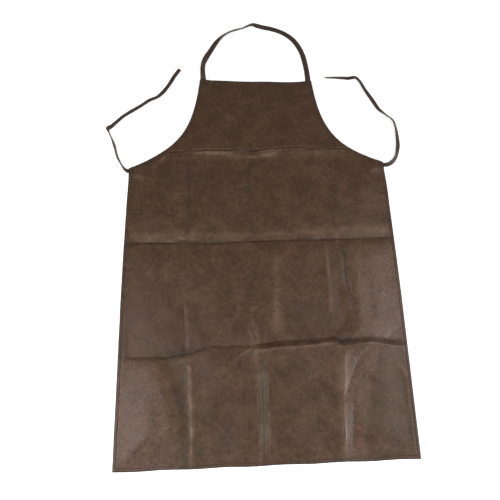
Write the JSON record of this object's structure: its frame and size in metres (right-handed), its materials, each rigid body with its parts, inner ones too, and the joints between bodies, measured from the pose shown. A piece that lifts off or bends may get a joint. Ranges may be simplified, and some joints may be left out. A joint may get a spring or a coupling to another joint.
{
  "type": "leather welding apron",
  "caption": "Bib apron of brown leather with a turned, sewn hem, a flat neck strap sewn to the bib corners and a tie at each side of the waist.",
  "frame": {"origin": "on the surface that the apron lies on, under the middle of its panel, halfway from the bottom hem to the top of the bib", "axes": "+Y from the bottom hem to the bib, +Z out of the front face, +X to the right as seen from the front with the bib up"},
  "size_m": [0.7076, 1.0822, 0.0126],
  "materials": {
    "leather": "semi-gloss brown split leather with mottled tone and packing creases",
    "strap_leather": "darker grey-brown leather strip, satin",
    "thread": "dark brown waxed sewing thread"
  },
  "bodies": {
    "lower_panel": {"panel_lower": "leather", "bottom_hem_seam": "thread", "left_side_seam_lower": "thread", "right_side_seam_lower": "thread"},
    "upper_panel": {"panel_upper": "leather", "left_side_seam_upper": "thread", "right_side_seam_upper": "thread", "left_armhole_seam": "thread", "right_armhole_seam": "thread", "bib_top_seam": "thread", "neck_strap_left_end": "strap_leather", "neck_strap_right_end": "strap_leather", "left_tie_sewn_end": "strap_leather", "right_tie_sewn_end": "strap_leather", "neck_strap_left_bartack": "thread", "neck_strap_right_bartack": "thread", "left_tie_bartack": "thread", "right_tie_bartack": "thread"},
    "neck_strap": {"neck_strap": "strap_leather"},
    "left_tie": {"left_tie": "strap_leather"},
    "right_tie": {"right_tie": "strap_leather"}
  },
  "joints": [
    {"name": "half_fold", "type": "hinge", "parent": "lower_panel", "child": "upper_panel", "pos_m": [0, 0.022, 0.004], "axis": [1, 0, 0], "range_deg": [0, 165]},
    {"name": "neck_strap_fold", "type": "hinge", "parent": "upper_panel", "child": "neck_strap", "pos_m": [0, 0.45015, 0.004], "axis": [1, 0, 0], "range_deg": [0, 170]},
    {"name": "left_tie_fold", "type": "hinge", "parent": "upper_panel", "child": "left_tie", "pos_m": [-0.30015, 0.19925, 0.004], "axis": [0.4067, 0.9135, 0], "range_deg": [0, 160]},
    {"name": "right_tie_fold", "type": "hinge", "parent": "upper_panel", "child": "right_tie", "pos_m": [0.30015, 0.19925, 0.004], "axis": [0.4695, -0.8829, 0], "range_deg": [0, 160]}
  ]
}
